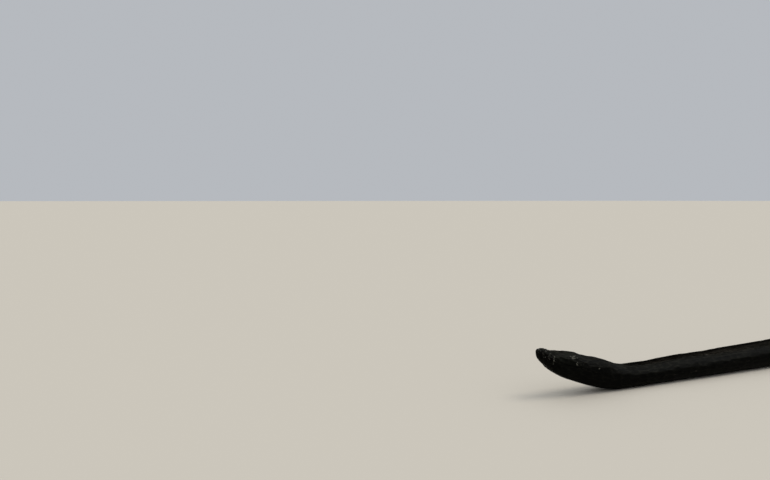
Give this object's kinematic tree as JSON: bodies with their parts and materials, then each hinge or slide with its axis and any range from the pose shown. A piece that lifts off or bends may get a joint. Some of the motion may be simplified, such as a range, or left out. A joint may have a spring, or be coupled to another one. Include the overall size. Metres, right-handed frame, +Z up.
{
  "type": "outrigger canoe",
  "caption": "Narrow dugout canoe with solid upturned snouts, its log float pegged and lashed under booms laid across the gunwales.",
  "frame": {"origin": "on the hull's centre line at mid-length, on the flat of the keel, which is where the hull stands on the ground", "axes": "+X points to the bow, +Y to port, where the float is, and +Z up"},
  "size_m": [8, 2.025, 0.4833],
  "materials": {
    "hull_wood": "blackened, satin",
    "float_wood": "weathered, rough",
    "pole_wood": "weathered, rough",
    "peg_wood": "cut, rough",
    "plank_wood": "hewn, worn",
    "cord": "fibrous, matte"
  },
  "bodies": {
    "root": {"hull": "hull_wood", "float": "float_wood", "boom_fore": "pole_wood", "boom_aft": "pole_wood", "key_bar_fore": "pole_wood", "key_bar_aft": "pole_wood", "lashing_fore_port": "cord", "lashing_fore_starboard": "cord", "lashing_fore_float": "cord", "lashing_aft_port": "cord", "lashing_aft_starboard": "cord", "lashing_aft_float": "cord", "peg_fore_1": "peg_wood", "peg_fore_2": "peg_wood", "peg_fore_3": "peg_wood", "peg_fore_4": "peg_wood", "peg_aft_1": "peg_wood", "peg_aft_2": "peg_wood", "peg_aft_3": "peg_wood", "peg_aft_4": "peg_wood", "seat_1": "plank_wood", "seat_2": "plank_wood", "seat_tie_1_port": "cord", "seat_tie_1_starboard": "cord", "seat_tie_2_port": "cord", "seat_tie_2_starboard": "cord", "spreader_1": "peg_wood", "spreader_2": "peg_wood", "deck_pole_1": "pole_wood", "deck_pole_2": "pole_wood", "deck_pole_3": "pole_wood", "deck_pole_4": "pole_wood", "deck_pole_5": "pole_wood", "deck_pole_6": "pole_wood"}
  },
  "joints": []
}
